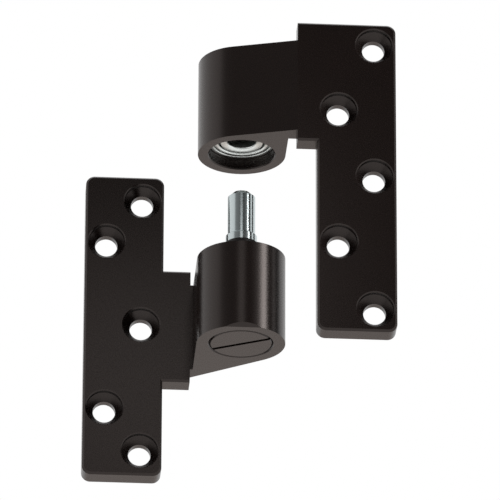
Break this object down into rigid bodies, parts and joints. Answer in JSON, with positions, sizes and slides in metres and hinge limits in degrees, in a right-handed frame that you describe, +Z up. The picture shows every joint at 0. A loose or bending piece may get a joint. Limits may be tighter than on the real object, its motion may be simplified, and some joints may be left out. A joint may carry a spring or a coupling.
{
  "type": "pivot hinge",
  "caption": "Lift-off pivot hinge for a gate or door: two black countersunk leaves, a steel pin that seats in a ball bearing, and a slotted height adjusting screw",
  "frame": {"origin": "On the pivot axis, half-way up the bare length of the pin above its collar", "axes": "+Z is up along the pivot axis, +X points to the upper leaf's plate, and the countersunk faces of both leaves look towards -Y with the hinge open by 180 degrees"},
  "size_m": [0.0876, 0.0422, 0.1286],
  "materials": {
    "black_aluminium": "satin black anodised aluminium",
    "bearing_steel": "ground bearing steel",
    "cage_steel": "pressed steel",
    "zinc_plated_steel": "bright zinc plating",
    "black_polymer": "moulded black acetal"
  },
  "bodies": {
    "frame_half": {"upper_leaf": "black_aluminium", "bearing_outer_ring": "bearing_steel", "bearing_shields": "bearing_steel"},
    "ball_set": {"bearing_balls": "bearing_steel", "bearing_cage": "cage_steel"},
    "inner_ring": {"bearing_inner_ring": "bearing_steel"},
    "pin": {"hinge_pin": "zinc_plated_steel"},
    "door_half": {"lower_leaf": "black_aluminium", "guide_bush": "black_polymer"},
    "screw": {"adjusting_screw": "black_aluminium"}
  },
  "joints": [
    {"name": "swing", "type": "hinge", "parent": "frame_half", "child": "inner_ring", "pos_m": [0, 0, 0.02635], "axis": [0, 0, 1], "range_deg": [0, 180]},
    {"name": "ball_orbit", "type": "hinge", "parent": "frame_half", "child": "ball_set", "pos_m": [0, 0, 0.02635], "axis": [0, 0, 1], "range_deg": [0, 73]},
    {"name": "lift_off", "type": "slide", "parent": "inner_ring", "child": "pin", "axis": [0, 0, 1], "range_m": [0, 0.02975]},
    {"name": "height_adjust", "type": "slide", "parent": "pin", "child": "door_half", "axis": [0, 0, -1], "range_m": [0, 0.003]},
    {"name": "adjuster_turn", "type": "hinge", "parent": "pin", "child": "screw", "pos_m": [0, 0, -0.0354], "axis": [0, 0, 1], "range_deg": [0, 720]}
  ],
  "couplings": [
    {"joint": "ball_orbit", "follows": "swing", "ratio": 0.40278},
    {"joint": "adjuster_turn", "follows": "height_adjust", "rad_per_m": 4188.8}
  ]
}
